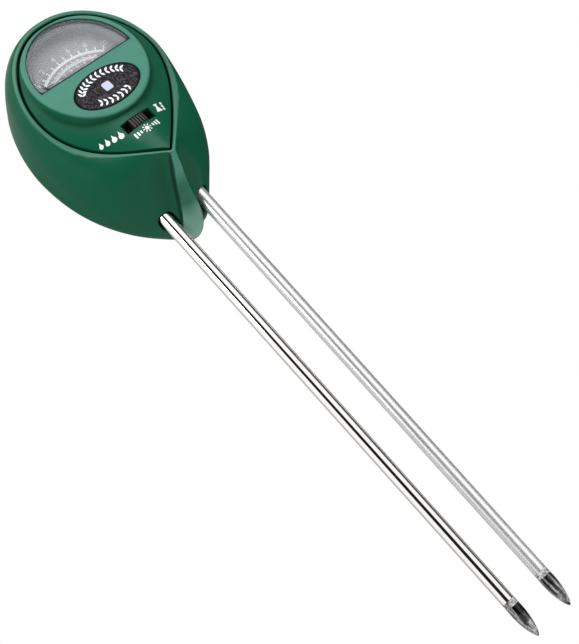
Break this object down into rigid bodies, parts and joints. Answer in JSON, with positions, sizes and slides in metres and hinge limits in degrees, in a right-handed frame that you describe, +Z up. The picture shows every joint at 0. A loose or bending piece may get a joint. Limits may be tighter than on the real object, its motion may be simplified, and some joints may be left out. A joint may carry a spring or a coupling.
{
  "type": "soil moisture meter",
  "caption": "Hand-held soil meter: drop-shaped plastic head with a half-moon dial window, slide switch and light sensor, on long parallel metal probes.",
  "frame": {"origin": "midway between the two probe axes, at the height where the probes leave the head; the probes run from here down into the soil", "axes": "+Z up along the probes towards the head, +Y towards the back of the head, +X to the right for somebody reading the dial"},
  "size_m": [0.0644, 0.0358, 0.2808],
  "materials": {
    "case_green": "satin moulded",
    "cover_green": "satin moulded",
    "panel_green": "satin moulded",
    "window_clear": "clear, polished",
    "badge_black": "matt printed",
    "sensor_clear": "milky clear",
    "cell_dark": "dark coated",
    "screw_steel": "zinc plated",
    "switch_metal": "tin plated",
    "laminate": "phenolic sheet",
    "contact_brass": "plain",
    "knob_black": "moulded",
    "dial_silver": "satin silver grey",
    "movement_alloy": "die cast",
    "soft_iron": "turned",
    "magnet_dark": "ground",
    "coil_alloy": "folded sheet",
    "copper_wire": "enamelled copper",
    "spindle_steel": "polished",
    "pointer_paint": "painted black",
    "spring_bronze": "phosphor bronze",
    "bridge_brass": "stamped",
    "probe_nickel": "polished nickel plate",
    "probe_zinc": "satin",
    "collar_grey": "rough, insulating",
    "tip_metal": "polished",
    "clamp_plastic": "moulded",
    "board_green": "lacquered glass fibre",
    "resistor_tan": "dipped",
    "trimmer_blue": "moulded",
    "lead_red": "insulated wire",
    "lead_black": "insulated wire"
  },
  "bodies": {
    "case": {"front_case": "case_green", "rear_cover": "cover_green", "case_screws": "screw_steel", "face_panel": "panel_green", "dial_window": "window_clear", "badge_plate": "badge_black", "light_window": "sensor_clear", "photocell": "cell_dark", "switch_frame": "switch_metal", "switch_base": "laminate", "switch_terminals": "contact_brass", "switch_detent_leaf": "switch_metal", "dial_plate": "dial_silver", "dial_screws": "screw_steel", "movement_frame": "movement_alloy", "movement_screws": "screw_steel", "flux_ring": "soft_iron", "core_magnet": "magnet_dark", "core_supports": "bridge_brass", "hairspring_front": "spring_bronze", "hairspring_rear": "spring_bronze", "movement_bridge": "bridge_brass", "pivot_screw_front": "spindle_steel", "pivot_screw_rear": "spindle_steel", "bridge_screws": "screw_steel", "pointer_stops": "spindle_steel", "probe_tube_left": "probe_nickel", "probe_collar_left": "collar_grey", "probe_tip_left": "tip_metal", "probe_tag_left": "contact_brass", "probe_tube_right": "probe_zinc", "probe_collar_right": "collar_grey", "probe_tip_right": "tip_metal", "probe_tag_right": "contact_brass", "probe_clamp": "clamp_plastic", "clamp_screw": "screw_steel", "circuit_board": "board_green", "resistors": "resistor_tan", "trim_resistor": "trimmer_blue", "lead_probe_left": "lead_red", "lead_probe_right": "lead_black", "board_screws": "screw_steel"},
    "switch_slider": {"switch_knob": "knob_black", "switch_contacts": "contact_brass"},
    "pointer_assembly": {"pointer": "pointer_paint", "balance_weights": "bridge_brass", "spindles": "spindle_steel", "coil_former": "coil_alloy", "coil_winding": "copper_wire"}
  },
  "joints": [
    {"name": "switch_slide", "type": "slide", "parent": "case", "child": "switch_slider", "axis": [1, 0, 0], "range_m": [-0.0032, 0.0032]},
    {"name": "pointer_swing", "type": "hinge", "parent": "case", "child": "pointer_assembly", "pos_m": [0, -0.00986, 0.04227], "axis": [0, 0.9895, -0.1444], "range_deg": [0, 58], "stiffness_Nm_per_rad": 0.00002}
  ]
}
